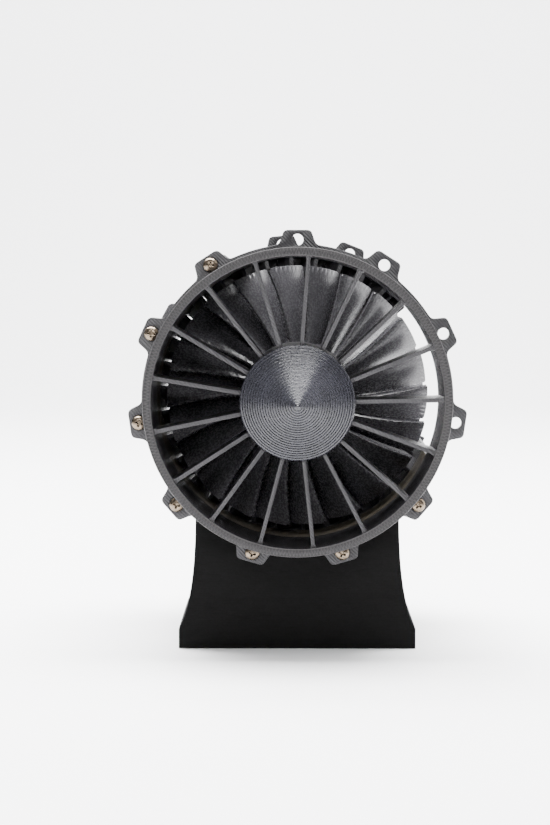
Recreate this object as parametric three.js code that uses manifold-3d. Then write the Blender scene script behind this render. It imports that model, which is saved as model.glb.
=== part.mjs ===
// Cutaway axial-flow supercharger: a fixed vane inlet, three bladed rotors on one shaft between
// stator rings, a casing with one panel left off, and a flared stand.
// Millimetres, +Z up. The origin is the centre of the stand's underside and the shaft runs along Y.
// Depths are measured backwards (+Y) from the front face of the inlet rim.
// Angles are in degrees, anticlockwise from +X as the inlet is seen from the front.

import * as THREE from 'three';
import { mergeVertices } from 'three/addons/utils/BufferGeometryUtils.js';
import Module from 'manifold-3d';

const wasm = await Module();
wasm.setup();

// ---- driving dimensions ----
const AXIS_HEIGHT = 88;            // shaft axis above the table
const STAND_FRONT = 26;            // depths of the stand's two ends
const STAND_BACK = 90;
const GAP = 0.3;                   // left between pieces that bear on each other

const BORE_RADIUS = 49.1;          // wall of the air path
const RIM_RADIUS = 52;
const RING_RADIUS = 53.3;          // flange rings between their lugs, and the outer casing
const TIP_RADIUS = 46;             // rotor blade tips
const HUB_RADIUS = 19.4;           // inlet hub and base of the nose
const SHAFT_RADIUS = 4;

const FLANGE_DEPTH = 15;           // front face of the inlet flange
const FLANGE_THICKNESS = 3;
const SPIGOT_END = 30;             // rear edge of the inlet wall
const SPIGOT_RADIUS = 50.5;
const CARRIER_RADIUS = 50.6;       // outside of the stator rings
const CARRIER_START = 48.9;
const STAGE_PITCH = 22.2;          // from one rotor, or one stator ring, to the next
const REAR_FLANGE_DEPTH = 100.3;
const REAR_FLANGE_THICKNESS = 3.7;

const LUG_RADIUS = 58;
const BOLT_RADIUS = 54.7;
const BOLT_HOLE_RADIUS = 2;
const FRONT_LUGS = 11;
const REAR_LUGS = 13;
const REAR_LUG_PHASE = 68.2;

const PANEL_FROM = -23.6;          // the casing panel that is left off
const PANEL_TO = 107.2;
const CUT_FROM = -22;              // the slice cut out of the stator rings and rear frame
const CUT_TO = 42;

const BLADE_COUNT = 22;
const INLET_VANES = 17;
const INLET_VANE_PHASE = 1;
const STATOR_VANES = 34;
const OUTLET_VANES = 11;
const OUTLET_VANE_PHASE = 53;

const RING_SEGMENTS = 44;
const HUB_SEGMENTS = 22;
const SMALL_SEGMENTS = 8;

// ---- finishes ----
const finish = (color, roughness, metalness) => ({ color, roughness, metalness });
const GREY_PRINT = finish(0x3a3a3c, 0.55, 0);
const BLADE_PRINT = finish(0x2e2e31, 0.4, 0);
const BLACK_PRINT = finish(0x161617, 0.7, 0);
const NICKEL = finish(0xb9b2a6, 0.3, 1);
const STEEL = finish(0x9fa3a8, 0.3, 1);
const BRASS = finish(0xb08d3e, 0.35, 1);

// ---- geometry helpers ----
const radians = THREE.MathUtils.degToRad;

function solidOf(geometry) {
  const bare = (geometry.index ? geometry.toNonIndexed() : geometry).clone();
  bare.deleteAttribute('normal');
  bare.deleteAttribute('uv');
  const merged = mergeVertices(bare, 1e-4);
  const mesh = new wasm.Mesh({
    numProp: 3,
    vertProperties: new Float32Array(merged.attributes.position.array),
    triVerts: new Uint32Array(merged.index.array),
  });
  return new wasm.Manifold(mesh);
}

const joined = (geometries) => geometries.map(solidOf).reduce((whole, next) => whole.add(next));
const cutBy = (solid, geometries) => (
  geometries.map(solidOf).reduce((rest, tool) => rest.subtract(tool), solid)
);

function geometryOf(solid) {
  const { vertProperties, triVerts } = solid.getMesh();
  const geometry = new THREE.BufferGeometry();
  geometry.setAttribute('position', new THREE.BufferAttribute(new Float32Array(vertProperties), 3));
  geometry.setIndex(new THREE.BufferAttribute(new Uint32Array(triVerts), 1));
  return geometry;
}

// A solid of revolution about the shaft: its outline is a closed list of [radius, depth].
function turned(outline, segments = RING_SEGMENTS) {
  const points = outline.map(([radius, depth]) => new THREE.Vector2(radius, depth));
  if (THREE.ShapeUtils.isClockWise(points)) points.reverse();
  return new THREE.LatheGeometry([...points, points[0]], segments);
}

// A closed outline in X and Z, extruded between two depths.
function slab(shape, front, back, curveSegments = 3) {
  const options = { depth: back - front, bevelEnabled: false, curveSegments };
  return new THREE.ExtrudeGeometry(shape, options).rotateX(Math.PI / 2).translate(0, back, 0);
}

// A slab or plate drawn at twelve o'clock, turned to an angle about the shaft.
const turnedTo = (geometry, angle) => geometry.rotateY(-radians(angle - 90));

// A pie slice about the shaft, used to cut rings open.
function slice(from, to, front, back) {
  const reach = 75;
  const shape = new THREE.Shape();
  shape.moveTo(0, 0);
  shape.lineTo(reach * Math.cos(radians(from)), reach * Math.sin(radians(from)));
  shape.absarc(0, 0, reach, radians(from), radians(to), false);
  shape.closePath();
  return slab(shape, front, back, 8);
}

function rod(radius, front, back, segments = SMALL_SEGMENTS) {
  const length = back - front;
  return new THREE.CylinderGeometry(radius, radius, length, segments).translate(0, front + length / 2, 0);
}

// ---- the parts tree: everything on the shaft sits in one group ----
const supercharger = new THREE.Group();
const machine = new THREE.Group();
machine.position.set(0, -(STAND_FRONT + STAND_BACK) / 2, AXIS_HEIGHT);
supercharger.add(machine);

function addPart(name, solid, look, parent = machine) {
  const geometry = geometryOf(solid);
  geometry.computeVertexNormals();
  const mesh = new THREE.Mesh(geometry, new THREE.MeshStandardMaterial(look));
  mesh.name = name;
  parent.add(mesh);
  return mesh;
}

// ---- flange lugs ----
function lug(angle, front, back) {
  const side = [[8.1, RIM_RADIUS - 0.4], [8.1, 52.6], [6, 54], [4.9, 57], [3.7, LUG_RADIUS]];
  const right = side.map(([across, radius]) => new THREE.Vector2(across, radius));
  const left = side.map(([across, radius]) => new THREE.Vector2(-across, radius)).reverse();
  return turnedTo(slab(new THREE.Shape([...right, ...left]), front, back), angle);
}

const boltAxis = (geometry, angle) => turnedTo(geometry.translate(0, 0, BOLT_RADIUS), angle);
const boltHole = (angle, front, back) => boltAxis(rod(BOLT_HOLE_RADIUS, front, back), angle);

const frontLugAngles = Array.from({ length: FRONT_LUGS }, (_, i) => 90 + (i * 360) / FRONT_LUGS);
const rearLugAngles = Array.from({ length: REAR_LUGS }, (_, i) => REAR_LUG_PHASE + (i * 360) / REAR_LUGS);
const between = (angle, from, to) => (((angle - from) % 360) + 360) % 360 < to - from;
const shellFrontAngles = frontLugAngles.filter((angle) => !between(angle, PANEL_FROM, PANEL_TO));
const shellRearAngles = rearLugAngles.filter((angle) => !between(angle, PANEL_FROM, PANEL_TO));
const frameLugAngles = rearLugAngles.filter((angle) => !between(angle, CUT_FROM, CUT_TO));

// ---- inlet casing: rim, flange, hub with the front bearing seat, and straight radial vanes ----
const VANE_START = 1.5;
const VANE_CHORD = 23;
const HUB_END = 33;
const BEARING_RADIUS = 11;
const BEARING_WIDTH = 7;
const FRONT_BEARING = 25.6;        // depth of the bearing's front face

function inletVane(angle) {
  const half = 0.7;
  const shape = new THREE.Shape();
  shape.moveTo(-0.5, VANE_START);
  shape.lineTo(0.5, VANE_START);
  shape.lineTo(half, VANE_START + 2.5);
  shape.lineTo(0.3, VANE_START + VANE_CHORD);
  shape.lineTo(-0.3, VANE_START + VANE_CHORD);
  shape.lineTo(-half, VANE_START + 2.5);
  shape.closePath();
  const inner = HUB_RADIUS - 1;
  const options = { depth: BORE_RADIUS + 0.6 - inner, bevelEnabled: false };
  return turnedTo(new THREE.ExtrudeGeometry(shape, options).translate(0, 0, inner), angle);
}

const flangeBack = FLANGE_DEPTH + FLANGE_THICKNESS;
const inletRing = turned([
  [BORE_RADIUS, 0], [RIM_RADIUS, 0], [RIM_RADIUS, FLANGE_DEPTH], [RING_RADIUS, FLANGE_DEPTH],
  [RING_RADIUS, flangeBack], [SPIGOT_RADIUS, flangeBack], [SPIGOT_RADIUS, SPIGOT_END],
  [BORE_RADIUS, SPIGOT_END],
]);
const seatRadius = BEARING_RADIUS + 0.1;
const inletHub = turned([
  [17, GAP], [HUB_RADIUS, GAP], [HUB_RADIUS, HUB_END], [seatRadius, HUB_END],
  [seatRadius, FRONT_BEARING - GAP], [9.6, FRONT_BEARING - GAP], [9.6, 22], [17, 22],
], HUB_SEGMENTS);
const inletVanes = Array.from(
  { length: INLET_VANES }, (_, i) => inletVane(INLET_VANE_PHASE + (i * 360) / INLET_VANES),
);
const inletLugs = frontLugAngles.map((angle) => lug(angle, FLANGE_DEPTH, flangeBack));
const inletHoles = frontLugAngles.map((angle) => boltHole(angle, FLANGE_DEPTH - 1, flangeBack + 1));
const inletCasing = cutBy(joined([inletRing, inletHub, ...inletVanes, ...inletLugs]), inletHoles);
addPart('inlet_casing', inletCasing, GREY_PRINT);

// ---- nose cone: straight flank, small round tip, and a plug that fits the hub ----
const NOSE_LENGTH = 19;
const noseOutline = [
  [0, -NOSE_LENGTH], [0.8, -NOSE_LENGTH + 0.3], [1.5, -NOSE_LENGTH + 1], [HUB_RADIUS, 0],
  [16.7, 0], [16.7, 5], [0, 5],
];
addPart('nose_cone', solidOf(turned(noseOutline, 33)), GREY_PRINT);

// ---- outer casing: a shell round the blading with one panel left off ----
const shellFront = flangeBack + GAP;
const shellBack = REAR_FLANGE_DEPTH - GAP;
const SHELL_FLANGE = 3.5;
const shellBody = turned([
  [SPIGOT_RADIUS + GAP, shellFront], [RING_RADIUS, shellFront], [RING_RADIUS, shellBack],
  [CARRIER_RADIUS + GAP, shellBack], [CARRIER_RADIUS + GAP, CARRIER_START - GAP],
  [BORE_RADIUS, CARRIER_START - GAP],
  [BORE_RADIUS, SPIGOT_END + GAP], [SPIGOT_RADIUS + GAP, SPIGOT_END + GAP],
]);
const shellLugs = [
  ...shellFrontAngles.map((angle) => lug(angle, shellFront, shellFront + SHELL_FLANGE)),
  ...shellRearAngles.map((angle) => lug(angle, shellBack - SHELL_FLANGE, shellBack)),
];
const shellCuts = [
  ...shellFrontAngles.map((angle) => boltHole(angle, shellFront - 1, shellFront + SHELL_FLANGE + 1)),
  ...shellRearAngles.map((angle) => boltHole(angle, shellBack - SHELL_FLANGE - 1, shellBack + 1)),
  slice(PANEL_FROM, PANEL_TO, 0, 120),
];
addPart('outer_casing', cutBy(joined([shellBody, ...shellLugs]), shellCuts), GREY_PRINT);

// ---- stator rings: a carrier, a row of vanes and an inner shroud, cut open on one side ----
const CARRIER_LENGTH = STAGE_PITCH - GAP;
const STATOR_PHASE = 92.5;

function statorVane(angle, front, inner, outer) {
  const run = 7;                   // axial length of the vane
  const turn = 4.4;                // its sweep round the ring
  const half = 0.75;
  const shape = new THREE.Shape();
  shape.moveTo(half, front);
  shape.lineTo(-turn + 0.5, front + run);
  shape.lineTo(-turn - 0.5, front + run);
  shape.lineTo(-half, front);
  shape.closePath();
  const options = { depth: outer - inner, bevelEnabled: false };
  return turnedTo(new THREE.ExtrudeGeometry(shape, options).translate(0, 0, inner), angle);
}

function statorRing(start, shroudRadius, phase) {
  const vaneFront = start + 1.1;
  const carrier = turned([
    [BORE_RADIUS, start], [CARRIER_RADIUS, start], [CARRIER_RADIUS, start + CARRIER_LENGTH],
    [BORE_RADIUS, start + CARRIER_LENGTH],
  ]);
  const shroud = turned([
    [shroudRadius - 1.8, start], [shroudRadius, start], [shroudRadius, start + 9.1],
    [shroudRadius - 1.8, start + 9.1],
  ], HUB_SEGMENTS);
  const vanes = [];
  for (let i = 0; i < STATOR_VANES; i += 1) {
    const angle = phase + (i * 360) / STATOR_VANES;
    if (!between(angle, CUT_FROM - 3, CUT_TO - 3)) {
      vanes.push(statorVane(angle, vaneFront, shroudRadius - 0.9, BORE_RADIUS + 0.6));
    }
  }
  return cutBy(joined([carrier, shroud, ...vanes]), [slice(CUT_FROM, CUT_TO, start - 2, start + 30)]);
}

const statorStarts = [CARRIER_START, CARRIER_START + STAGE_PITCH];
const shroudRadii = [21.6, 25.4];
// the second ring's vanes stand behind the gaps between the first ring's
const statorPhases = [STATOR_PHASE, STATOR_PHASE + 180 / STATOR_VANES];
statorStarts.forEach((start, i) => {
  addPart(`stator_ring_${i + 1}`, statorRing(start, shroudRadii[i], statorPhases[i]), GREY_PRINT);
});

// ---- rotors: a web disc with a rim and a row of twisted blades ----
const ROTOR_START = 36.2;
const ROTOR_LENGTH = 12.2;
const BLADE_TIP_ANGLE = 62.9;      // middle of one blade at its tip
const BLADE_LEAN = 6.6;            // degrees that a blade leans from root to tip
const ROTOR_TURN = 5;              // each rotor is keyed this much further round than the last
const bladeAt = {
  turn: [4.6, 12.1],               // sweep round the rotor, at root and tip
  run: [11, 9.4],                  // axial length, at root and tip
  half: [0.85, 0.55],              // half thickness, at root and tip
  camber: [-1.3, -0.9],
};

function rotorBlade(angle, middle, root) {
  const span = TIP_RADIUS - root;
  const shape = new THREE.Shape([
    new THREE.Vector2(-0.5, 0), new THREE.Vector2(0, -1),
    new THREE.Vector2(0.5, 0), new THREE.Vector2(0, 1),
  ]);
  // enough steps that the two sides of the twisted blade stay clear of each other
  const blade = new THREE.ExtrudeGeometry(shape, { depth: span, steps: 5, bevelEnabled: false });
  const points = blade.attributes.position;
  const along = new THREE.Vector2();
  for (let i = 0; i < points.count; i += 1) {
    const share = points.getZ(i) / span;
    const at = (pair) => THREE.MathUtils.lerp(pair[0], pair[1], share);
    const radius = root + points.getZ(i);
    const chordPlace = points.getX(i);
    const rise = at(bladeAt.half) * points.getY(i) + at(bladeAt.camber) * (1 - 4 * chordPlace * chordPlace);
    along.set(at(bladeAt.run), -at(bladeAt.turn));
    const length = along.length();
    const depth = middle + chordPlace * along.x - (rise * along.y) / length;
    const sweep = chordPlace * along.y + (rise * along.x) / length;
    const turn = radians(angle - BLADE_LEAN * (1 - share)) + sweep / radius;
    points.setXYZ(i, radius * Math.cos(turn), depth, radius * Math.sin(turn));
  }
  return blade;
}

function rotorDisc(front, rimRadius, tipAngle) {
  const back = front + ROTOR_LENGTH;
  const middle = (front + back) / 2;
  const bore = SHAFT_RADIUS + 0.1;
  const bossRadius = 8;
  const rimInside = rimRadius - 2.2;
  const webHalf = 1.5;
  const disc = turned([
    [bore, front], [bossRadius, front], [bossRadius, middle - webHalf], [rimInside, middle - webHalf],
    [rimInside, front], [rimRadius, front], [rimRadius + 1.6, back], [rimInside, back],
    [rimInside, middle + webHalf], [bossRadius, middle + webHalf], [bossRadius, back], [bore, back],
  ], BLADE_COUNT);
  // each blade stands in the middle of one facet of the rim
  turnedTo(disc, tipAngle - BLADE_LEAN + 180 / BLADE_COUNT);
  const blades = [];
  for (let i = 0; i < BLADE_COUNT; i += 1) {
    blades.push(rotorBlade(tipAngle + (i * 360) / BLADE_COUNT, middle, rimRadius - 1.1));
  }
  return joined([disc, ...blades]);
}

const rotorFronts = [0, 1, 2].map((stage) => ROTOR_START + stage * STAGE_PITCH);
const rimRadii = [18.8, 22.4, 26];
rotorFronts.forEach((front, i) => {
  const disc = rotorDisc(front, rimRadii[i], BLADE_TIP_ANGLE + i * ROTOR_TURN);
  addPart(`rotor_${i + 1}`, disc, BLADE_PRINT);
});

// ---- rear frame: flange, outlet vanes and hub with the rear bearing seat ----
const FRAME_START = CARRIER_START + 2 * STAGE_PITCH;
const FRAME_END = REAR_FLANGE_DEPTH + REAR_FLANGE_THICKNESS;
const FRAME_HUB = 28.2;
const REAR_BEARING = 104.5;        // depth of the rear bearing's front face

function outletVane(angle) {
  const length = BORE_RADIUS + 0.6 - (FRAME_HUB - 1);
  const plate = new THREE.BoxGeometry(1.8, 9, length).translate(0, 98.5, FRAME_HUB - 1 + length / 2);
  return turnedTo(plate, angle);
}

const frameRing = turned([
  [BORE_RADIUS, FRAME_START], [CARRIER_RADIUS, FRAME_START], [CARRIER_RADIUS, REAR_FLANGE_DEPTH],
  [RING_RADIUS, REAR_FLANGE_DEPTH], [RING_RADIUS, FRAME_END], [BORE_RADIUS, FRAME_END],
]);
const frameHub = turned([
  [9.6, 100], [26, 100], [26, FRAME_START], [FRAME_HUB, FRAME_START], [FRAME_HUB, 104], [16, 112.5],
  [seatRadius, 112.5], [seatRadius, REAR_BEARING - GAP], [9.6, REAR_BEARING - GAP],
], HUB_SEGMENTS);
const frameLugs = frameLugAngles.map((angle) => lug(angle, REAR_FLANGE_DEPTH, FRAME_END));
const openRing = cutBy(joined([frameRing, ...frameLugs]), [
  ...frameLugAngles.map((angle) => boltHole(angle, REAR_FLANGE_DEPTH - 1, FRAME_END + 1)),
  slice(CUT_FROM, CUT_TO, 80, 120),
]);
const outletAngles = Array.from(
  { length: OUTLET_VANES }, (_, i) => OUTLET_VANE_PHASE + (i * 360) / OUTLET_VANES,
);
const outletVanes = outletAngles.filter((angle) => !between(angle, CUT_FROM, CUT_TO)).map(outletVane);
const rearFrame = joined([frameHub, ...outletVanes]).add(openRing);
addPart('rear_frame', rearFrame, GREY_PRINT);

// ---- tail cover: closes the rear bearing seat round the shaft end ----
addPart('tail_cover', solidOf(turned([
  [5.2, 115.5], [9, 115.5], [15.4, 112.5 + GAP], [10.8, 112.5 + GAP], [10.8, 111.9], [7, 111.9],
  [7, 112.9], [5.2, 112.9],
], 18)), GREY_PRINT);

// ---- shaft line: shaft, sleeves that space the rotors, and an end nut at each end ----
const SHAFT_FRONT = 16;
const SHAFT_BACK = 127;
const BORE_CLEAR = 0.1;

const shaftOutline = [
  [0, SHAFT_FRONT], [2.6, SHAFT_FRONT], [3, SHAFT_FRONT + 0.5], [3, 23], [SHAFT_RADIUS, 23],
  [SHAFT_RADIUS, SHAFT_BACK - 0.6], [SHAFT_RADIUS - 0.6, SHAFT_BACK], [0, SHAFT_BACK],
];
addPart('drive_shaft', solidOf(turned(shaftOutline, 16)), STEEL);

function sleeve(front, back) {
  const inner = SHAFT_RADIUS + BORE_CLEAR;
  return solidOf(turned([[inner, front], [6, front], [6, back], [inner, back]], 16));
}

const rotorBacks = rotorFronts.map((front) => front + ROTOR_LENGTH);
addPart('front_sleeve', sleeve(FRONT_BEARING + BEARING_WIDTH + GAP, rotorFronts[0] - GAP), STEEL);
addPart('middle_sleeve_1', sleeve(rotorBacks[0] + GAP, rotorFronts[1] - GAP), STEEL);
addPart('middle_sleeve_2', sleeve(rotorBacks[1] + GAP, rotorFronts[2] - GAP), STEEL);
addPart('rear_sleeve', sleeve(rotorBacks[2] + GAP, REAR_BEARING - GAP), STEEL);

function hexNut(acrossFlats, bore, front, back) {
  const shape = new THREE.Shape();
  const corner = acrossFlats / 2 / Math.cos(Math.PI / 6);
  for (let i = 0; i < 6; i += 1) {
    const angle = (i * Math.PI) / 3;
    const step = i === 0 ? 'moveTo' : 'lineTo';
    shape[step](corner * Math.cos(angle), corner * Math.sin(angle));
  }
  shape.closePath();
  const hole = new THREE.Path();
  hole.absarc(0, 0, bore, 0, 2 * Math.PI, true);
  shape.holes.push(hole);
  return slab(shape, front, back, SMALL_SEGMENTS);
}

addPart('front_shaft_nut', solidOf(hexNut(10, 3 + BORE_CLEAR, 17.5, 22.5)), STEEL);
addPart('rear_shaft_nut', solidOf(hexNut(11, SHAFT_RADIUS + BORE_CLEAR, 116.2, 120.2)), STEEL);

// ---- ball bearings: two grooved races and a ring of balls in a cage ----
const BALL_RADIUS = 1.85;
const BALL_PITCH = 7.5;
const BALLS = 7;

function bearing(end, front) {
  const back = front + BEARING_WIDTH;
  const middle = (front + back) / 2;
  const groove = 1.7;
  const outer = [
    [9.2, front], [BEARING_RADIUS, front], [BEARING_RADIUS, back], [9.2, back], [9.2, middle + groove],
    [9.7, middle], [9.2, middle - groove],
  ];
  const bore = SHAFT_RADIUS + BORE_CLEAR;
  const inner = [
    [bore, front], [5.8, front], [5.8, middle - groove], [5.3, middle], [5.8, middle + groove],
    [5.8, back], [bore, back],
  ];
  addPart(`${end}_bearing_outer_race`, solidOf(turned(outer, 22)), STEEL);
  addPart(`${end}_bearing_inner_race`, solidOf(turned(inner, 16)), STEEL);
  const [cageFront, cageBack] = [middle - 0.6, middle + 0.6];
  const cage = turned([[7.1, cageFront], [7.9, cageFront], [7.9, cageBack], [7.1, cageBack]], 14);
  const balls = Array.from({ length: BALLS }, (_, i) => turnedTo(
    new THREE.IcosahedronGeometry(BALL_RADIUS).translate(0, middle, BALL_PITCH), (i * 360) / BALLS,
  ));
  addPart(`${end}_bearing_balls`, joined([cage, ...balls]), NICKEL);
}

bearing('front', FRONT_BEARING);
bearing('rear', REAR_BEARING);

// ---- casing screws and the threaded inserts they run into ----
const HEAD_RADIUS = 2.55;
const HEAD_HEIGHT = 1.7;
const SHANK_RADIUS = 1.5;

// A pan-head screw along the bolt axis at twelve o'clock, head towards the front, seated at depth 0.
function panScrew(length) {
  const body = turned([
    [0, -HEAD_HEIGHT], [1.9, -HEAD_HEIGHT + 0.3], [HEAD_RADIUS, -0.4], [HEAD_RADIUS, 0],
    [SHANK_RADIUS, 0], [SHANK_RADIUS, length], [0, length],
  ], SMALL_SEGMENTS);
  const wings = [[2.9, 0.7], [0.7, 2.9]].map(
    ([wide, high]) => new THREE.BoxGeometry(wide, 1.1, high).translate(0, -HEAD_HEIGHT + 0.45, 0),
  );
  return geometryOf(cutBy(solidOf(body), wings));
}

const insert = (front, back) => turned([
  [SHANK_RADIUS + BORE_CLEAR, front], [BOLT_HOLE_RADIUS - BORE_CLEAR, front],
  [BOLT_HOLE_RADIUS - BORE_CLEAR, back], [SHANK_RADIUS + BORE_CLEAR, back],
], SMALL_SEGMENTS);

const SEAT = 0.15;                 // under each screw head
shellFrontAngles.forEach((angle, i) => {
  const screw = panScrew(8).translate(0, FLANGE_DEPTH - SEAT, 0);
  addPart(`front_screw_${i + 1}`, solidOf(boltAxis(screw, angle)), NICKEL);
  const thread = insert(shellFront + 0.1, shellFront + SHELL_FLANGE - 0.1);
  addPart(`front_insert_${i + 1}`, solidOf(boltAxis(thread, angle)), BRASS);
});
shellRearAngles.forEach((angle, i) => {
  const screw = panScrew(8).rotateX(Math.PI).translate(0, FRAME_END + SEAT, 0);
  addPart(`rear_screw_${i + 1}`, solidOf(boltAxis(screw, angle)), NICKEL);
  const thread = insert(shellBack - SHELL_FLANGE + 0.1, shellBack - 0.1);
  addPart(`rear_insert_${i + 1}`, solidOf(boltAxis(thread, angle)), BRASS);
});

// ---- stand: a block with a square foot, flared sides and a round saddle for the casing ----
const FOOT_HALF = 41.5;
const FOOT_HEIGHT = 7;
const WAIST_HALF = 35.5;
const saddleRadius = RING_RADIUS + GAP;
const saddleAngle = Math.acos(WAIST_HALF / saddleRadius);
const hornHeight = AXIS_HEIGHT - saddleRadius * Math.sin(saddleAngle);

const standShape = new THREE.Shape();
standShape.moveTo(-FOOT_HALF, 0);
standShape.lineTo(FOOT_HALF, 0);
standShape.lineTo(FOOT_HALF, FOOT_HEIGHT);
standShape.quadraticCurveTo(WAIST_HALF, 18, WAIST_HALF, hornHeight);
standShape.absarc(0, AXIS_HEIGHT, saddleRadius, -saddleAngle, saddleAngle - Math.PI, true);
standShape.quadraticCurveTo(-WAIST_HALF, 18, -FOOT_HALF, FOOT_HEIGHT);
standShape.closePath();
const standLength = STAND_BACK - STAND_FRONT;
const stand = slab(standShape, -standLength / 2, standLength / 2, 12);
addPart('stand', solidOf(stand), BLACK_PRINT, supercharger);

export default supercharger;
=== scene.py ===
"""Cutaway axial-flow supercharger, printed in grey plastic and bolted with small nickel screws."""

import math

import bpy
from mathutils import Matrix, Vector


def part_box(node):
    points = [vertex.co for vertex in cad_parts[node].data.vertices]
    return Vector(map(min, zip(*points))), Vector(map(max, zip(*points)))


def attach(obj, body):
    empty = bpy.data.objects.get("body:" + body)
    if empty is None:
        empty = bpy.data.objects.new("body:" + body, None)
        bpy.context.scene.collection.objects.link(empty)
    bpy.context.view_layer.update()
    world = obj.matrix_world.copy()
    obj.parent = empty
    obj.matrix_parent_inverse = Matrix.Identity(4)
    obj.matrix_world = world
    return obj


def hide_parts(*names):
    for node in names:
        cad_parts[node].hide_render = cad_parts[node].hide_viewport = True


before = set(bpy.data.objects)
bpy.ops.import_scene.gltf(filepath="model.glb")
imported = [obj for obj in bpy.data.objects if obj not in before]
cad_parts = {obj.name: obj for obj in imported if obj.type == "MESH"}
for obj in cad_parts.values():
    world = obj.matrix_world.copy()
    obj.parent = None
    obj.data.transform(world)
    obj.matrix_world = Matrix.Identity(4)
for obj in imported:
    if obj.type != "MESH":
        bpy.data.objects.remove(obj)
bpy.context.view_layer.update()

# ---- the view ----
# A long lens a little above the shaft, square to the inlet, so that the vanes fan out evenly and the
# lugs of the rear flange just show past the front ones.
MM = 0.001
CAMERA_BACK, CAMERA_ABOVE, CAMERA_ASIDE = 649, 42.7, -2.2
LOOK_DOWN, LOOK_ASIDE = 4.04, 0.47
rim_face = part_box("inlet_casing")[0].y
shaft_low, shaft_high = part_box("drive_shaft")
axis_height = (shaft_low.z + shaft_high.z) / 2

bpy.ops.object.camera_add(
    location=(CAMERA_ASIDE * MM, rim_face - CAMERA_BACK * MM, axis_height + CAMERA_ABOVE * MM),
    rotation=(math.radians(90 - LOOK_DOWN), 0, math.radians(LOOK_ASIDE)),
)
camera = bpy.context.object
camera.data.lens = 85
camera.data.sensor_width = 36
bpy.context.scene.camera = camera

# ---- the studio: a white sweep under soft boxes ----
# The table runs up behind in one curve. The boxes above and beside give the long soft highlights on
# the satin print and light the blades through the open casing; a weak one in front lights the inlet.


def linear(colour):
    """A hex sRGB colour as the linear values that the shaders work in."""
    parts = [int(colour[i : i + 2], 16) / 255 for i in (1, 3, 5)]
    return tuple(p / 12.92 if p <= 0.04045 else ((p + 0.055) / 1.055) ** 2.4 for p in parts) + (1.0,)


def add(tree, kind, inputs=None, **settings):
    """Adds a node, sets its settings, and gives each input a value or a link."""
    node = tree.nodes.new(kind)
    for key, value in settings.items():
        setattr(node, key, value)
    for key, value in (inputs or {}).items():
        if isinstance(value, bpy.types.NodeSocket):
            tree.links.new(value, node.inputs[key])
        else:
            node.inputs[key].default_value = value
    return node


def new_material(name):
    """A new material with its node tree and its shader."""
    material = bpy.data.materials.new(name)
    material.use_nodes = True
    return material, material.node_tree, material.node_tree.nodes["Principled BSDF"]


def only(piece):
    """Leaves one object selected and active, in object mode."""
    if bpy.context.object and bpy.context.object.mode != "OBJECT":
        bpy.ops.object.mode_set(mode="OBJECT")
    bpy.ops.object.select_all(action="DESELECT")
    piece.select_set(True)
    bpy.context.view_layer.objects.active = piece


def pick(piece, test, kind="FACE"):
    """Opens a piece in edit mode with only the faces (centre, normal) or edges (ends) that pass."""
    only(piece)
    bpy.ops.object.mode_set(mode="EDIT")
    bpy.ops.mesh.select_mode(type=kind)
    bpy.ops.mesh.select_all(action="DESELECT")
    bpy.ops.object.mode_set(mode="OBJECT")
    mesh = piece.data
    if kind == "FACE":
        for face in mesh.polygons:
            face.select = test(face.center, face.normal)
    else:
        for edge in mesh.edges:
            start, end = (mesh.vertices[i].co for i in edge.vertices)
            edge.select = test(start, end)
    bpy.ops.object.mode_set(mode="EDIT")


TABLE, WALL, CURVE = 4, 2.5, 0.8
far_edge = TABLE / 2 - 0.1
bpy.ops.object.select_all(action="DESELECT")
bpy.ops.mesh.primitive_plane_add(size=TABLE, location=(0, 0, 0))
sweep = bpy.context.object
sweep.name = "studio_sweep"
pick(sweep, lambda a, b: min(a.y, b.y) > far_edge, "EDGE")
bpy.ops.mesh.extrude_region_move(TRANSFORM_OT_translate={"value": (0, 0, WALL)})
pick(sweep, lambda a, b: min(a.y, b.y) > far_edge and max(a.z, b.z) < 0.1, "EDGE")
bpy.ops.mesh.bevel(offset=CURVE, segments=12)
bpy.ops.object.mode_set(mode="OBJECT")
bpy.ops.object.shade_smooth()
# White background paper: matt, with no grain that shows at this distance.
paper, tree, shader = new_material("white_studio_paper")
shader.inputs["Base Color"].default_value = linear("#f4f4f5")
shader.inputs["Roughness"].default_value = 0.8
sweep.data.materials.append(paper)


def soft_box(name, spot, aim, size, power):
    """A rectangular light that hangs at a spot and points at its aim."""
    bpy.ops.object.light_add(type="AREA", location=spot)
    light = bpy.context.object
    light.name = name
    light.data.shape = "RECTANGLE"
    light.data.size, light.data.size_y = size
    light.data.energy = power
    light.rotation_euler = (Vector(aim) - Vector(spot)).to_track_quat("-Z", "Y").to_euler()


middle = (0, 0, axis_height)
backdrop = (0, 1.9, 0.6)
soft_box("top_box", (0.06, 0.0, 1.05), middle, (0.4, 0.9), 60)
soft_box("casing_box", (-0.35, 0.3, 0.9), middle, (0.6, 0.5), 26)
soft_box("inlet_box", (0.0, -0.95, 0.5), middle, (0.4, 0.25), 9)
soft_box("right_box", (0.8, 0.2, 0.4), middle, (0.4, 0.8), 10)
soft_box("backdrop_box", (0, 0.6, 1.5), backdrop, (2.0, 0.6), 135)
world = bpy.data.worlds.new("studio_air")
bpy.context.scene.world = world
world.use_nodes = True
world.node_tree.nodes["Background"].inputs["Color"].default_value = linear("#f4f5f7")
world.node_tree.nodes["Background"].inputs["Strength"].default_value = 0.25

# ---- stand ----
# A solid print in matt black PLA: a square foot, sides that sweep in to a waist, and a round saddle.
# The casing only rests in the saddle.
SADDLE = 53.6
FOOT_HALF, FOOT_HEIGHT, WAIST_HALF, FLARE_HEIGHT = 41.5, 7.0, 35.5, 18.0
LAYER, STROKE = 0.6, 0.9    # drawn two or three times as coarse as a real print's, so that they show


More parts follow.
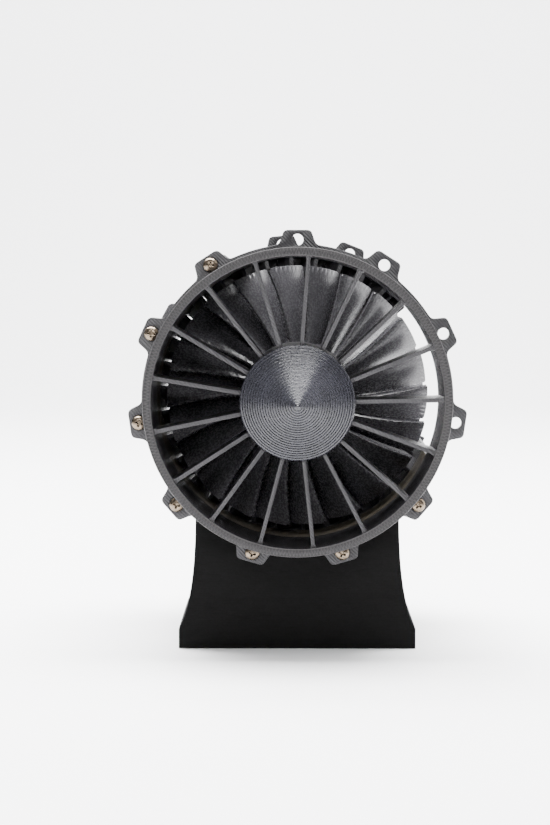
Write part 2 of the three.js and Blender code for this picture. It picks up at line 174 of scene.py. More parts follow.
def place(radius, depth, angle=90.0):
    """A point by its radius, its depth behind the rim's face and its clock angle, in metres."""
    turn = math.radians(angle)
    return Vector((
        radius * MM * math.cos(turn),
        rim_face + depth * MM,
        axis_height + radius * MM * math.sin(turn),
    ))


def wire(name, points, closed=True):
    """A loop or an open line of edges through the points."""
    bpy.ops.object.select_all(action="DESELECT")
    bpy.ops.mesh.primitive_circle_add(vertices=len(points), radius=MM)
    line = bpy.context.object
    line.name = name
    for vertex, point in zip(line.data.vertices, points):
        vertex.co = point
    if not closed:
        first, last = points[0], points[-1]
        pick(line, lambda a, b: min(
            (a - first).length + (b - last).length, (a - last).length + (b - first).length
        ) < 1e-6, "EDGE")
        bpy.ops.mesh.delete(type="EDGE")
        bpy.ops.object.mode_set(mode="OBJECT")
    return line


def settle(piece):
    """Puts a piece's place in its mesh, merges doubled points and turns its faces outwards."""
    only(piece)
    bpy.ops.object.transform_apply(location=True, rotation=True, scale=True)
    bpy.ops.object.mode_set(mode="EDIT")
    bpy.ops.mesh.select_all(action="SELECT")
    bpy.ops.mesh.remove_doubles(threshold=0.002 * MM)
    bpy.ops.mesh.normals_make_consistent(inside=False)
    bpy.ops.object.mode_set(mode="OBJECT")
    return piece


def plate(name, points, thickness):
    """A flat closed outline, filled and pushed back by its thickness."""
    piece = wire(name, points)
    only(piece)
    bpy.ops.object.mode_set(mode="EDIT")
    bpy.ops.mesh.select_all(action="SELECT")
    bpy.ops.mesh.edge_face_add()
    bpy.ops.mesh.extrude_region_move(TRANSFORM_OT_translate={"value": (0, thickness * MM, 0)})
    bpy.ops.object.mode_set(mode="OBJECT")
    return settle(piece)


def block(centre, across, deep, tall):
    """A box by its centre and its three sizes."""
    bpy.ops.object.select_all(action="DESELECT")
    bpy.ops.mesh.primitive_cube_add(size=1, location=centre)
    box = bpy.context.object
    box.scale = (across * MM, deep * MM, tall * MM)
    return settle(box)


def apply_modifier(piece, kind, **settings):
    only(piece)
    modifier = piece.modifiers.new(kind.lower(), kind)
    for key, value in settings.items():
        setattr(modifier, key, value)
    bpy.ops.object.modifier_apply(modifier=modifier.name)


def soften(piece, width, segments=2, angle=35):
    """Rounds the sharp edges a little, as a print's edges are, and shades the rest smooth."""
    apply_modifier(
        piece, "BEVEL", width=width * MM, segments=segments, limit_method="ANGLE",
        angle_limit=math.radians(angle),
    )
    only(piece)
    bpy.ops.object.shade_smooth_by_angle(angle=math.radians(angle))
    return piece


def printed(name, colour, tint, shine, up="Y", lines=1.0, depth=0.08, layer=LAYER, waver=0.35, sheen=0.5):
    """PLA laid down by a nozzle: layer lines across the build axis, slanted infill strokes on flat ends.

    The strokes catch the light on one flank, so each line shows as a pair of a light and a dark one.
    On top of that the colour is painted lighter on each crest and darker in each hollow: painted highlight
    and shade.
    The colour drifts towards its tint in soft patches, and the layer lines waver by a share of a layer.
    """
    material, tree, shader = new_material(name)
    shader.inputs["Specular IOR Level"].default_value = sheen
    spot = add(tree, "ShaderNodeTexCoord")
    at = add(tree, "ShaderNodeSeparateXYZ", {"Vector": spot.outputs["Object"]})
    facing = add(tree, "ShaderNodeSeparateXYZ", {"Vector": spot.outputs["Normal"]})
    flat = add(tree, "ShaderNodeMath", {0: facing.outputs[up]}, operation="ABSOLUTE")
    on_end = add(tree, "ShaderNodeMapRange", {"Value": flat.outputs[0], "From Min": 0.93, "From Max": 0.98})
    drift = add(tree, "ShaderNodeTexNoise", {"Vector": spot.outputs["Object"], "Scale": 120.0, "Detail": 4.0})
    wander = add(tree, "ShaderNodeMath", {0: drift.outputs["Fac"], 1: waver * MM}, operation="MULTIPLY")
    along = add(tree, "ShaderNodeMath", {0: at.outputs[up], 1: wander.outputs[0]}, operation="ADD")
    layer_turn = 2 * math.pi / (layer * MM)
    phase = add(tree, "ShaderNodeMath", {0: along.outputs[0], 1: layer_turn}, operation="MULTIPLY")
    layers = add(tree, "ShaderNodeMath", {0: phase.outputs[0]}, operation="SINE")
    walls = add(tree, "ShaderNodeMath", {0: layers.outputs[0], 1: lines}, operation="MULTIPLY")
    side = "Z" if up == "Y" else "Y"
    slant = add(tree, "ShaderNodeMath", {0: at.outputs["X"], 1: at.outputs[side]}, operation="ADD")
    stroke_turn = 2 * math.pi / (STROKE * MM * math.sqrt(2))
    sweep_phase = add(tree, "ShaderNodeMath", {0: slant.outputs[0], 1: stroke_turn}, operation="MULTIPLY")
    infill = add(tree, "ShaderNodeMath", {0: sweep_phase.outputs[0]}, operation="SINE")
    relief = add(
        tree, "ShaderNodeMix",
        {"Factor": on_end.outputs["Result"], "A": walls.outputs[0], "B": infill.outputs[0]},
    )
    bump = add(
        tree, "ShaderNodeBump", {"Height": relief.outputs[0], "Strength": 0.5, "Distance": depth * MM}
    )
    grain = add(tree, "ShaderNodeTexNoise", {"Vector": spot.outputs["Object"], "Scale": 1400.0})
    # Painted highlight and shade: the colour is lighter on the crests of the lines and strokes and darker in
    # their hollows.
    ridge_painted_light_and_shade = add(
        tree, "ShaderNodeMapRange",
        {"Value": relief.outputs[0], "From Min": -1.0, "From Max": 1.0, "To Min": 0.78, "To Max": 1.22},
    )
    mottle = add(
        tree, "ShaderNodeMapRange",
        {"Value": drift.outputs["Fac"], "From Min": 0.3, "From Max": 0.7, "To Min": 0.85, "To Max": 1.15},
    )
    both = add(
        tree, "ShaderNodeMath", {0: ridge_painted_light_and_shade.outputs["Result"], 1: mottle.outputs["Result"]}, operation="MULTIPLY"
    )
    base = add(
        tree, "ShaderNodeMix",
        {"Factor": drift.outputs["Fac"], "A": linear(colour), "B": linear(tint)}, data_type="RGBA",
    )
    paint = add(
        tree, "ShaderNodeVectorMath", {0: base.outputs["Result"], "Scale": both.outputs[0]}, operation="SCALE"
    )
    gloss = add(
        tree, "ShaderNodeMapRange",
        {"Value": grain.outputs["Fac"], "From Min": 0.3, "From Max": 0.7, "To Min": shine - 0.03,
         "To Max": shine + 0.05},
    )
    tree.links.new(paint.outputs[0], shader.inputs["Base Color"])
    tree.links.new(gloss.outputs["Result"], shader.inputs["Roughness"])
    tree.links.new(bump.outputs["Normal"], shader.inputs["Normal"])
    return material


def fit(piece, material, body, slot, *nodes):
    """Gives a finished piece its material and its body, and hides the CAD nodes that it stands for."""
    if not piece.data.materials:
        piece.data.materials.append(material)
    piece.data.materials[0] = material
    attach(piece, body)
    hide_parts(*nodes)
    return piece


# Matt black PLA: it swallows the light, with faint level layer lines on its front.
black_print = printed("black_pla_matt", "#040404", "#040404", 0.8, up="Z", lines=0.5, depth=0.05, sheen=0.12)

stand_low, stand_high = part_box("stand")


def flare(share):
    """The curve of the stand's side from the top of its foot to its waist."""
    waist_height = axis_height / MM - math.sqrt(SADDLE**2 - WAIST_HALF**2)
    across = (1 - share) ** 2 * FOOT_HALF + 2 * share * (1 - share) * WAIST_HALF + share**2 * WAIST_HALF
    height = (1 - share) ** 2 * FOOT_HEIGHT + 2 * share * (1 - share) * FLARE_HEIGHT + share**2 * waist_height
    return across, height


right_side = [(FOOT_HALF, 0.0)] + [flare(i / 24) for i in range(25)]
half_saddle = math.degrees(math.acos(WAIST_HALF / SADDLE))
saddle = []
for i in range(1, 64):
    saddle_angle = math.radians(-half_saddle - (180 - 2 * half_saddle) * i / 64)
    saddle.append((SADDLE * math.cos(saddle_angle), axis_height / MM + SADDLE * math.sin(saddle_angle)))
stand_outline = right_side + saddle + [(-x, z) for x, z in reversed(right_side)]
stand_points = [Vector((x * MM, stand_low.y, z * MM)) for x, z in stand_outline]
stand = plate("stand_print", stand_points, (stand_high.y - stand_low.y) / MM)
pick(stand, lambda centre, normal: abs(normal.y) > 0.9)
bpy.ops.mesh.bevel(offset=0.7 * MM, segments=2, affect="EDGES")
bpy.ops.object.mode_set(mode="OBJECT")
only(stand)
bpy.ops.object.shade_smooth_by_angle(angle=math.radians(30))
fit(stand, black_print, "housing", "black_print", "stand")

# ---- inlet casing ----
# One print in grey satin PLA: a rim and wall, a flange with eleven bolt lugs, seventeen straight
# radial vanes, and the hub that seats the front bearing.
BORE, RIM, RING = 49.1, 52.0, 53.3
SPIGOT, SPIGOT_END = 50.5, 30.0
HUB, HUB_END = 19.4, 33.0
GAP = 0.3
FLANGE_FRONT, FLANGE_BACK = 15.0, 18.0
BOLT_CIRCLE, BOLT_HOLE = 54.7, 2.0
FRONT_LUGS = 11
VANES, VANE_PHASE = 17, 1.0
SEAT = 11.1
LUG_SIDE = [(8.1, 52.68), (7.0, 52.95), (6.3, 53.5), (5.85, 54.3), (5.05, 56.7), (4.75, 57.35),
            (4.2, 57.8), (3.4, 58.0)]


def turned(name, outline, steps=128, closed=True, span=None, about=0.0):
    """Spins an outline of (radius, depth) about the shaft, or about a line at twelve o'clock beside it.

    It goes all the way round, or from one clock angle to another with its ends closed.
    """
    start, end = span or (90, 450)
    points = [place(about + radius, depth, start) for radius, depth in outline]
    piece = wire(name, points, closed)
    only(piece)
    bpy.ops.object.mode_set(mode="EDIT")
    bpy.ops.mesh.select_all(action="SELECT")
    bpy.ops.mesh.spin(
        steps=steps, angle=math.radians(end - start), center=(0, 0, axis_height + about * MM),
        axis=(0, 1, 0),
    )
    if span:
        bpy.ops.mesh.select_mode(type="EDGE")
        bpy.ops.mesh.select_all(action="DESELECT")
        bpy.ops.mesh.select_non_manifold()
        bpy.ops.mesh.fill_holes(sides=0)
    bpy.ops.object.mode_set(mode="OBJECT")
    return settle(piece)


def join(name, pieces):
    """Joins pieces into the first one."""
    only(pieces[0])
    for piece in pieces[1:]:
        piece.select_set(True)
    bpy.ops.object.join()
    pieces[0].name = name
    return pieces[0]


def cut(piece, *tools):
    """Takes the tools' shapes out of a piece."""
    for tool in tools:
        apply_modifier(piece, "BOOLEAN", operation="DIFFERENCE", object=tool, solver="EXACT")
        bpy.data.objects.remove(tool)
    return piece


def swung(piece, turn):
    """Moves a piece's mesh round the shaft by an angle, anticlockwise as the inlet is seen."""
    centre = Matrix.Translation((0, 0, axis_height))
    piece.data.transform(centre @ Matrix.Rotation(-math.radians(turn), 4, "Y") @ centre.inverted())
    return piece


def copy_of(piece):
    copy = piece.copy()
    copy.data = piece.data.copy()
    bpy.context.collection.objects.link(copy)
    return copy


def round_about(piece, angles):
    """Repeats a piece that was made at twelve o'clock at each of the clock angles."""
    copies = [swung(copy_of(piece), angle - 90) for angle in angles]
    bpy.data.objects.remove(piece)
    return copies


def evenly(count, first=90.0):
    return [first + 360 * i / count for i in range(count)]


def within(angle, start, end):
    return (angle - start) % 360 < end - start


def drill(angle, front, back):
    bpy.ops.mesh.primitive_cylinder_add(
        vertices=40, radius=BOLT_HOLE * MM, depth=(back - front) * MM,
        location=place(BOLT_CIRCLE, (front + back) / 2, angle), rotation=(math.pi / 2, 0, 0),
    )
    return settle(bpy.context.object)


def lug_ring(name, angles, front, back, bore):
    """A flange plate: a ring with a rounded lug at each angle, a bolt hole in each lug, and its bore."""
    outline = []
    marks = sorted(angle % 360 for angle in angles)
    reach = math.degrees(math.asin(LUG_SIDE[0][0] / RING))
    for lug, following in zip(marks, marks[1:] + [marks[0] + 360]):
        left = [(-x, z) for x, z in reversed(LUG_SIDE)]
        for across, out in LUG_SIDE + left:
            outline.append((math.hypot(across, out), lug - math.degrees(math.atan2(across, out))))
        bare = following - lug - 2 * reach
        count = max(2, round(bare / 1.5))
        outline += [(RING, lug + reach + bare * i / count) for i in range(1, count)]
    piece = plate(name, [place(radius, front, angle) for radius, angle in outline], back - front)
    drills = join("drills", [drill(angle, front - 1, back + 1) for angle in angles])
    core_outline = [(0, front - 1), (bore, front - 1), (bore, back + 1), (0, back + 1)]
    return cut(piece, drills, turned("core", core_outline, closed=False))


# Grey satin PLA: soft wide highlights, fine layer rings round the walls, strokes on the lug faces.
grey_print = printed("grey_pla_satin", "#29282a", "#313032", 0.34, sheen=0.25)

# The rim's end: a zigzag of infill, with painted highlights in two bands along its inner and outer edges,
# where the rounded edges catch the light.
rim_print, tree, shader = new_material("grey_pla_zigzag_end_painted_edge_highlights")
shader.inputs["Specular IOR Level"].default_value = 0.25
STRAND = 0.45
spot = add(tree, "ShaderNodeTexCoord")
centred = add(tree, "ShaderNodeMapping", {"Vector": spot.outputs["Object"], "Location": (0, 0, -axis_height)})
at = add(tree, "ShaderNodeSeparateXYZ", {"Vector": centred.outputs["Vector"]})
flat = add(tree, "ShaderNodeCombineXYZ", {"X": at.outputs["X"], "Y": at.outputs["Z"]})
radius = add(tree, "ShaderNodeVectorMath", {0: flat.outputs["Vector"]}, operation="LENGTH")
angle = add(tree, "ShaderNodeMath", {0: at.outputs["Z"], 1: at.outputs["X"]}, operation="ARCTAN2")
arc = add(tree, "ShaderNodeMath", {0: angle.outputs[0], 1: 50.5 * MM * 3.6}, operation="MULTIPLY")
wide = (RIM - BORE - 2 * STRAND) * MM
zigzag = add(tree, "ShaderNodeMath", {0: arc.outputs[0], 1: wide}, operation="PINGPONG")
inside = add(
    tree, "ShaderNodeMath", {0: radius.outputs["Value"], 1: (BORE + STRAND) * MM}, operation="SUBTRACT"
)
off_line = add(tree, "ShaderNodeMath", {0: inside.outputs[0], 1: zigzag.outputs[0]}, operation="SUBTRACT")
off_by = add(tree, "ShaderNodeMath", {0: off_line.outputs[0]}, operation="ABSOLUTE")
infill = add(
    tree, "ShaderNodeMapRange",
    {"Value": off_by.outputs[0], "From Min": 0.15 * MM, "From Max": 0.75 * MM, "To Min": 1.0, "To Max": 0.0},
)
from_middle = add(
    tree, "ShaderNodeMath", {0: radius.outputs["Value"], 1: (RIM + BORE) / 2 * MM}, operation="SUBTRACT"
)
out_by = add(tree, "ShaderNodeMath", {0: from_middle.outputs[0]}, operation="ABSOLUTE")
# Painted highlights: one band along the inner edge and one along the outer edge are lighter, as if their
# rounded edges caught the light.
painted_edge_highlight = add(
    tree, "ShaderNodeMapRange",
    {"Value": out_by.outputs[0], "From Min": wide / 2, "From Max": wide / 2 + 0.2 * MM},
)
# The zigzag infill, with the painted edge highlights laid over it.
zigzag_and_painted_highlight = add(
    tree, "ShaderNodeMath", {0: infill.outputs["Result"], 1: painted_edge_highlight.outputs["Result"]}, operation="MAXIMUM"
)
shade = add(
    tree, "ShaderNodeMix",
    {"Factor": zigzag_and_painted_highlight.outputs[0], "A": linear("#1b1a1b"), "B": linear("#2e2c2d")}, data_type="RGBA",
)
bump = add(tree, "ShaderNodeBump", {"Height": zigzag_and_painted_highlight.outputs[0], "Strength": 0.6, "Distance": 0.1 * MM})
tree.links.new(shade.outputs["Result"], shader.inputs["Base Color"])
tree.links.new(bump.outputs["Normal"], shader.inputs["Normal"])
shader.inputs["Roughness"].default_value = 0.42

front_angles = evenly(FRONT_LUGS)
rim_wall = soften(turned("rim_wall", [
    (BORE, 0), (RIM, 0), (RIM, FLANGE_FRONT + 1), (SPIGOT, FLANGE_FRONT + 1), (SPIGOT, SPIGOT_END),
    (BORE, SPIGOT_END),
]), 0.25)
inlet_flange = soften(lug_ring("inlet_flange", front_angles, FLANGE_FRONT, FLANGE_BACK, BORE + 0.9), 0.14)
inlet_hub = soften(turned("inlet_hub", [
    (17, GAP), (HUB, GAP), (HUB, HUB_END), (SEAT, HUB_END), (SEAT, 25.3), (9.6, 25.3), (9.6, 22), (17, 22),
], 96), 0.2)

# Each vane is a straight plate with a blunt front edge and a thin rear edge, and swells into the wall.
VANE_FRONT, VANE_BACK, VANE_THICK = 1.5, 24.5, 1.45
vane_top = BORE - 2.0
vane = block(
    place((HUB + vane_top) / 2, (VANE_FRONT + VANE_BACK) / 2),
    VANE_THICK, VANE_BACK - VANE_FRONT, vane_top - HUB + 1.0,
)
for rise, swell in ((0.8, 1.15), (0.8, 1.45), (0.9, 1.6)):
    pick(vane, lambda centre, normal: normal.z > 0.9)
    bpy.ops.mesh.extrude_region_move(TRANSFORM_OT_translate={"value": (0, 0, rise * MM)})
    bpy.ops.transform.resize(value=(swell, 1, 1))
pick(vane, lambda centre, normal: normal.y > 0.9)
bpy.ops.transform.resize(value=(0.45, 1, 1))
bpy.ops.object.mode_set(mode="OBJECT")
soften(settle(vane), 0.3)
vanes = round_about(vane, evenly(VANES, VANE_PHASE))
inlet = join("inlet_casing_print", [rim_wall, inlet_flange, inlet_hub, *vanes])
fit(inlet, grey_print, "housing", "grey_print", "inlet_casing")
inlet.data.materials.append(rim_print)
for face in inlet.data.polygons:
    from_axis = math.hypot(face.center.x, face.center.z - axis_height) / MM
    if face.center.y - rim_face < 0.3 * MM and BORE - 0.1 < from_axis < RIM + 0.1:
        face.material_index = 1

# ---- nose cone ----
# A spinner printed point up, so that its flank is a stack of rings. A short plug pushes it into the
# mouth of the hub.
# Glossy grey PLA in coarse even rings: a bright wedge runs down from the top and the sides stay dark.
ring_print = printed("grey_pla_stacked_rings", "#202024", "#26262c", 0.25, depth=0.26, layer=0.85, waver=0.0)
nose = turned("nose_cone_print", [
    (0, -19), (0.45, -18.9), (0.95, -18.6), (1.5, -18.0), (19.1, -0.35), (19.4, 0), (16.7, 0), (16.7, 4.6),
    (16.3, 5), (0, 5),
], 160, closed=False)
only(nose)
bpy.ops.object.shade_smooth_by_angle(angle=math.radians(30))
fit(nose, ring_print, "housing", "grey_print", "nose_cone")

# ---- outer casing ----
# The shell round the blading, printed standing on its front flange with one side panel left off. Its
# lugs meet the inlet flange and the rear frame, and its own front wall carries on the bore.
PANEL_FROM, PANEL_TO = -23.6, 107.2
SHELL_FRONT, SHELL_BACK, SHELL_FLANGE = 18.3, 100.0, 3.5
SHELL_BORE = 50.9
REAR_LUGS, REAR_LUG_PHASE = 13, 68.2


def lug_copies(name, angles, front, back):
    """One drilled lug, made at twelve o'clock and repeated at each angle."""
    foot = [(LUG_SIDE[0][0], 52.0)]
    side = foot + LUG_SIDE
    points = [Vector((x * MM, rim_face + front * MM, axis_height + z * MM)) for x, z in side]
    points += [Vector((-p.x, p.y, p.z)) for p in reversed(points)]
    lug = cut(plate(name, points, back - front), drill(90, front - 1, back + 1))
    return round_about(soften(lug, 0.14), angles)


# The same grey PLA on the faces that look in towards the shaft, painted lighter and a warm brown there:
# painted light inside the bore.
bore_painted_light_print = printed("grey_pla_bore_painted_warm_light", "#37342f", "#41392c", 0.42)
panel_gone = (PANEL_TO, PANEL_FROM + 360)
shell_front_angles = [a for a in front_angles if not within(a, PANEL_FROM, PANEL_TO)]
rear_angles = evenly(REAR_LUGS, REAR_LUG_PHASE)
shell_rear_angles = [a for a in rear_angles if not within(a, PANEL_FROM, PANEL_TO)]
shell = soften(turned("shell", [
    (SPIGOT + GAP, SHELL_FRONT), (RING, SHELL_FRONT), (RING, SHELL_BACK), (SHELL_BORE, SHELL_BACK),
    (SHELL_BORE, 48.6), (BORE, 48.6), (BORE, SPIGOT_END + GAP), (SPIGOT + GAP, SPIGOT_END + GAP),
], 96, span=panel_gone), 0.25)
shell = join("outer_casing_print", [
    shell,
    *lug_copies("front_lug", shell_front_angles, SHELL_FRONT, SHELL_FRONT + SHELL_FLANGE),
    *lug_copies("rear_lug", shell_rear_angles, SHELL_BACK - SHELL_FLANGE, SHELL_BACK),
])
fit(shell, grey_print, "housing", "grey_print", "outer_casing")
shell.data.materials.append(bore_painted_light_print)
# Faces that look in towards the shaft take the painted warm light.
for face in shell.data.polygons:
    outward = Vector((face.center.x, 0, face.center.z - axis_height)).dot(face.normal)
    if outward < -0.5 * RING * MM * 0.9:
        face.material_index = 1

# ---- stator rings ----
# Two prints that slide into the shell from behind: an outer carrier, a row of slanted vanes and an
# inner shroud, cut open where the blades are on show.
STAGE = 22.2
CUT_FROM, CUT_TO = -22.0, 42.0
CARRIER, CARRIER_LENGTH = 50.6, 21.9
STATOR_VANES, STATOR_PHASE = 34, 92.5
STATOR_RUN, STATOR_SWEEP, STATOR_THICK, STATOR_INSET = 7.0, 4.4, 1.5, 1.1
STATOR_FRONT = 48.9
SHROUDS, SHROUD_WALL, SHROUD_LENGTH = (21.6, 25.4), 1.8, 9.1
for number, shroud in enumerate(SHROUDS, 1):
    start = STATOR_FRONT + (number - 1) * STAGE
    ends = (CUT_TO, CUT_FROM + 360)
    carrier = soften(turned("carrier", [
        (BORE, start), (CARRIER, start), (CARRIER, start + CARRIER_LENGTH), (BORE, start + CARRIER_LENGTH),
    ], 112, span=ends), 0.25)
    inner = soften(turned("shroud", [
        (shroud - SHROUD_WALL, start), (shroud, start), (shroud, start + SHROUD_LENGTH),
        (shroud - SHROUD_WALL, start + SHROUD_LENGTH),
    ], 72, span=ends), 0.2)
    foot = shroud - SHROUD_WALL / 2
    tall = BORE + 0.5 - foot
    stator_middle = place(foot + tall / 2, start + STATOR_INSET + STATOR_RUN / 2)
    blade = block(stator_middle, STATOR_THICK, STATOR_RUN, tall)
    pick(blade, lambda centre, normal: normal.y > 0.9)
    bpy.ops.transform.resize(value=(0.67, 1, 1))
    bpy.ops.transform.translate(value=(-STATOR_SWEEP * MM, 0, 0))
    bpy.ops.object.mode_set(mode="OBJECT")
    soften(blade, 0.25)
    phase = STATOR_PHASE + (number - 1) * 180 / STATOR_VANES
    kept = [a for a in evenly(STATOR_VANES, phase) if not within(a, CUT_FROM - 3, CUT_TO - 3)]
    ring = join(f"stator_ring_{number}_print", [carrier, inner, *round_about(blade, kept)])
    fit(ring, grey_print, "housing", "grey_print", f"stator_ring_{number}")

# ---- rotors ----
# Three prints keyed on one shaft: a boss, a web and a flared rim with 22 twisted blades. They are
# printed flat, so the blades show fine stepped layers and a smooth bright edge round the tip.
TIP, BLADES, BLADE_THICK = 46.0, 22, 1.15
TIP_ANGLE, LEAN, KEYED_ON = 62.9, 6.6, 5.0
# Blade PLA: glossier and smoother than the casing, so each blade shades from black to light grey.
blade_print = printed("dark_pla_blades", "#3c3b3e", "#454447", 0.26, lines=0.5, depth=0.02, waver=0.15)


def rotor_blade(middle_depth, root):
    """One blade with its tip at twelve o'clock: a sheet that is bent, twisted, leant and thickened."""
    bpy.ops.object.select_all(action="DESELECT")
    bpy.ops.mesh.primitive_grid_add(x_subdivisions=8, y_subdivisions=10, size=1)
    blade = bpy.context.object
    only(blade)
    for vertex in blade.data.vertices:
        vertex.select = vertex.co.x < -0.49 and vertex.co.y > 0.49
    bpy.ops.object.mode_set(mode="EDIT")
    bpy.ops.mesh.select_mode(type="VERT")
    bpy.ops.mesh.bevel(offset=0.09, segments=4, affect="VERTICES")
    bpy.ops.object.mode_set(mode="OBJECT")
    for vertex in blade.data.vertices:
        chord, share = vertex.co.x, vertex.co.y + 0.5
        out = root + (TIP - root) * share
        run, turn = 11 - 1.6 * share, 4.6 + 7.5 * share
        rise = (-1.3 + 0.4 * share) * (1 - 4 * chord * chord)
        length = math.hypot(run, turn)
        depth = middle_depth + chord * run + rise * turn / length
        round_by = math.degrees((-chord * turn + rise * run / length) / out)
        vertex.co = place(out, depth, 90 - LEAN * (1 - share) + round_by)
    apply_modifier(blade, "SOLIDIFY", thickness=BLADE_THICK * MM, offset=0)
    settle(blade)
    return soften(blade, 0.25, angle=50)


ROTOR_FRONT, ROTOR_LENGTH = 36.2, 12.2
ROTOR_RIMS = (18.8, 22.4, 26.0)
ROTOR_BORE, BOSS, WEB_HALF, RIM_WALL, RIM_FLARE = 4.1, 8, 1.5, 2.2, 1.6
for number, rim in enumerate(ROTOR_RIMS, 1):
    front = ROTOR_FRONT + (number - 1) * STAGE
    back = front + ROTOR_LENGTH
    half = (front + back) / 2
    disc = soften(turned("disc", [
        (ROTOR_BORE, front), (BOSS, front), (BOSS, half - WEB_HALF), (rim - RIM_WALL, half - WEB_HALF),
        (rim - RIM_WALL, front), (rim, front), (rim + RIM_FLARE, back), (rim - RIM_WALL, back),
        (rim - RIM_WALL, half + WEB_HALF), (BOSS, half + WEB_HALF), (BOSS, back), (ROTOR_BORE, back),
    ], 96), 0.25)
    tips = evenly(BLADES, TIP_ANGLE + KEYED_ON * (number - 1))
    blades = round_about(rotor_blade(half, rim - 1.1), tips)
    rotor = join(f"rotor_{number}_print", [disc, *blades])
    fit(rotor, blade_print, "rotor", "blade_print", f"rotor_{number}")

# ---- rear frame ----
# The print that closes the back: a flange ring cut open like the stator rings, nine outlet vanes and
# a hub that seats the rear bearing. Screws from behind hold it to the shell.
FRAME_FRONT, FRAME_FLANGE, FRAME_BACK = 93.3, 100.3, 104.0
FRAME_HUB = 28.2
OUTLET_VANES, OUTLET_PHASE = 11, 53.0
OUTLET_MIDDLE, OUTLET_THICK, OUTLET_DEEP = 98.5, 1.8, 9
open_ends = (CUT_TO, CUT_FROM + 360)
frame_angles = [a for a in rear_angles if not within(a, CUT_FROM, CUT_TO)]
frame_ring = soften(turned("frame_ring", [
    (BORE, FRAME_FRONT), (CARRIER, FRAME_FRONT), (CARRIER, FRAME_FLANGE), (RING, FRAME_FLANGE),
    (RING, FRAME_BACK), (BORE, FRAME_BACK),
], 112, span=open_ends), 0.25)
frame_hub = soften(turned("frame_hub", [
    (9.6, 100), (26, 100), (26, FRAME_FRONT), (FRAME_HUB, FRAME_FRONT), (FRAME_HUB, 104), (16, 112.5),
    (SEAT, 112.5), (SEAT, 104.2), (9.6, 104.2),
], 96), 0.25)
vane_foot = FRAME_HUB - 1
vane_tall = BORE + 0.5 - vane_foot
vane_middle = place(vane_foot + vane_tall / 2, OUTLET_MIDDLE)
outlet_vane = soften(block(vane_middle, OUTLET_THICK, OUTLET_DEEP, vane_tall), 0.4)
outlet_angles = [a for a in evenly(OUTLET_VANES, OUTLET_PHASE) if not within(a, CUT_FROM, CUT_TO)]
rear_frame = join("rear_frame_print", [
    frame_ring, frame_hub, *round_about(outlet_vane, outlet_angles),
    *lug_copies("frame_lug", frame_angles, FRAME_FLANGE, FRAME_BACK),
])
fit(rear_frame, grey_print, "housing", "grey_print", "rear_frame")

# ---- tail cover ----
# A printed cap that closes the rear bearing seat round the shaft; its skirt pushes into the seat.
tail = soften(turned("tail_cover_print", [
    (5.2, 115.5), (9, 115.5), (15.4, 112.8), (10.8, 112.8), (10.8, 111.9), (7, 111.9), (7, 112.9),
    (5.2, 112.9),
], 96), 0.2)
fit(tail, ring_print, "housing", "grey_print", "tail_cover")

# ---- shaft, sleeves and end nuts ----
# A plain turned steel shaft. Sleeves between the rotors space them, and a hexagon nut at each end
# clamps the stack against the bearings.
SHAFT = 4.0


def turned_metal(name, colour, shine, groove):
    """Lathe-turned metal: fine grooves round the part, so the highlight breaks into thin lines."""
    material, tree, shader = new_material(name)
    spot = add(tree, "ShaderNodeTexCoord")
    at = add(tree, "ShaderNodeSeparateXYZ", {"Vector": spot.outputs["Object"]})
    phase = add(
        tree, "ShaderNodeMath", {0: at.outputs["Y"], 1: 2 * math.pi / (groove * MM)}, operation="MULTIPLY"
    )
    grooves = add(tree, "ShaderNodeMath", {0: phase.outputs[0]}, operation="SINE")
    dirt = add(tree, "ShaderNodeTexNoise", {"Vector": spot.outputs["Object"], "Scale": 700.0, "Detail": 3.0})
    bump = add(
        tree, "ShaderNodeBump", {"Height": grooves.outputs[0], "Strength": 0.25, "Distance": 0.03 * MM}
    )
    gloss = add(
        tree, "ShaderNodeMapRange",
        {"Value": dirt.outputs["Fac"], "From Min": 0.3, "From Max": 0.7, "To Min": shine - 0.06,
         "To Max": shine + 0.1},
    )
    shader.inputs["Base Color"].default_value = linear(colour)
    shader.inputs["Metallic"].default_value = 1.0
    tree.links.new(gloss.outputs["Result"], shader.inputs["Roughness"])
    tree.links.new(bump.outputs["Normal"], shader.inputs["Normal"])
    return material


# Bare lathe steel: grey, with a soft streak along the shaft.
steel = turned_metal("turned_steel", "#a9adb2", 0.28, 0.3)
shaft = turned("drive_shaft_steel", [
    (0, 16), (2.6, 16), (3, 16.5), (3, 23), (SHAFT, 23), (SHAFT, 126.4), (3.4, 127), (0, 127),
], 48, closed=False)
only(shaft)
bpy.ops.object.shade_smooth_by_angle(angle=math.radians(30))
fit(shaft, steel, "rotor", "steel", "drive_shaft")


def hexagon_nut(name, across_flats, bore, front, back):
    """A hexagon nut with chamfered corners, bored for the shaft."""
    corner = across_flats / 2 / math.cos(math.pi / 6)
    nut = plate(name, [place(corner, front, angle) for angle in evenly(6, 0.0)], back - front)
    lathe = turned("lathe", [
        (corner * 0.9, front - 0.01), (corner + 0.01, front + 0.5), (corner + 0.01, back - 0.5),
        (corner * 0.9, back + 0.01), (corner + 2, back + 0.01), (corner + 2, front - 0.01),
    ], 48)
    hole = [(0, front - 1), (bore, front - 1), (bore, back + 1), (0, back + 1)]
    return soften(cut(nut, lathe, turned("hole", hole, 48, closed=False)), 0.12)


NUTS = ("front", 10, 3.1, 17.5, 22.5), ("rear", 11, 4.1, 116.2, 120.2)
for end, flats, bore, nut_front, nut_back in NUTS:
    nut = hexagon_nut(f"{end}_nut_steel", flats, bore, nut_front, nut_back)
    fit(nut, steel, "rotor", "steel", f"{end}_shaft_nut")


def finish(material, *nodes):
    """Gives CAD nodes whose shape is already right a better material."""
    for node in nodes:
        for slot in bpy.data.objects[node].material_slots:
            slot.material = material


finish(steel, "front_sleeve", "middle_sleeve_1", "middle_sleeve_2", "rear_sleeve")

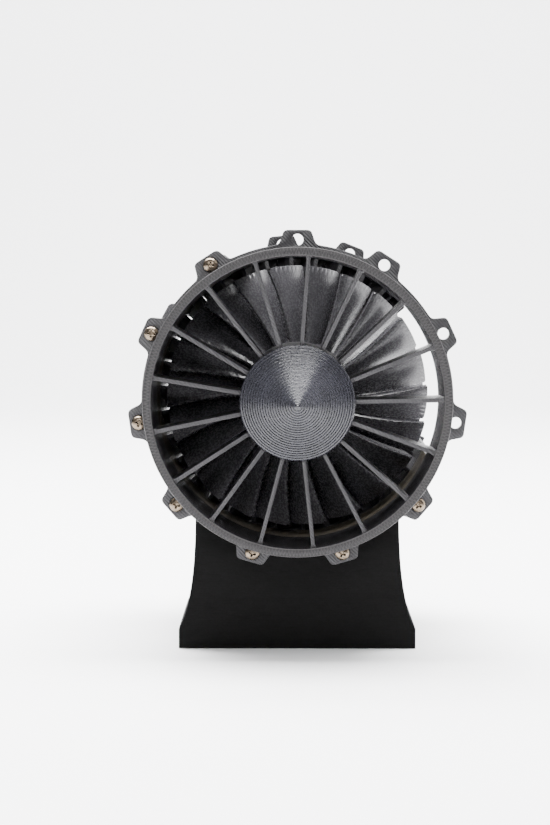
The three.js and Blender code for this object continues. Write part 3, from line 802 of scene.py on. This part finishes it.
# ---- ball bearings ----
# Two stock bearings, pressed into the seats of the hubs; the cages carry the balls.
# Ground steel: paler and sharper than the shaft.
ground = turned_metal("ground_bearing_steel", "#c3c6ca", 0.18, 0.2)
for end in ("front", "rear"):
    finish(ground, f"{end}_bearing_outer_race", f"{end}_bearing_inner_race", f"{end}_bearing_balls")

# ---- casing screws and inserts ----
# Small nickel-plated pan-head screws with a cross recess; each runs through a lug into a brass
# insert that is melted into the lug behind.
# Nickel plate: warm grey with small sharp highlights. Brass: yellow, and dulled by its knurling.
nickel = turned_metal("plated_nickel", "#74685a", 0.27, 0.5)
brass = turned_metal("knurled_brass", "#b59245", 0.32, 0.8)
screw = turned("pan_screw", [
    (0, -1.7), (1.0, -1.68), (1.7, -1.5), (2.2, -1.1), (2.48, -0.6), (2.55, -0.2), (2.5, 0), (1.5, 0),
    (1.5, 7.7), (1.2, 8), (0, 8),
], 40, closed=False, about=BOLT_CIRCLE)
RECESS_LONG, RECESS_WIDE, RECESS_DEEP, RECESS_MIDDLE = 2.9, 0.75, 1.5, -1.3
for wide, high in ((RECESS_LONG, RECESS_WIDE), (RECESS_WIDE, RECESS_LONG)):
    wing = block(place(BOLT_CIRCLE, RECESS_MIDDLE), wide, RECESS_DEEP, high)
    pick(wing, lambda centre, normal: normal.y > 0.9)
    bpy.ops.transform.resize(value=(0.55, 1, 0.55))
    bpy.ops.object.mode_set(mode="OBJECT")
    cut(screw, wing)
soften(screw, 0.06, segments=1)


def fit_screw(name, angle, seat, face_front, spin):
    """A copy of the screw, spun to where it was tightened, turned to face its end and put in its lug."""
    copy = copy_of(screw)
    bolt = Matrix.Translation(place(BOLT_CIRCLE, 0))
    facing = Matrix.Rotation(0 if face_front else math.pi, 4, "Z")
    tightened = Matrix.Rotation(math.radians(spin), 4, "Y")
    seated = Matrix.Translation((0, seat * MM, 0))
    copy.data.transform(seated @ bolt @ facing @ tightened @ bolt.inverted())
    copy.name = f"{name}_nickel"
    fit(swung(copy, angle - 90), nickel, "housing", "nickel", name)


for number, angle in enumerate(shell_front_angles, 1):
    fit_screw(f"front_screw_{number}", angle, FLANGE_FRONT - 0.15, True, 37 * number)
    finish(brass, f"front_insert_{number}")
for number, angle in enumerate(shell_rear_angles, 1):
    fit_screw(f"rear_screw_{number}", angle, FRAME_BACK + 0.15, False, 53 * number)
    finish(brass, f"rear_insert_{number}")
bpy.data.objects.remove(screw)
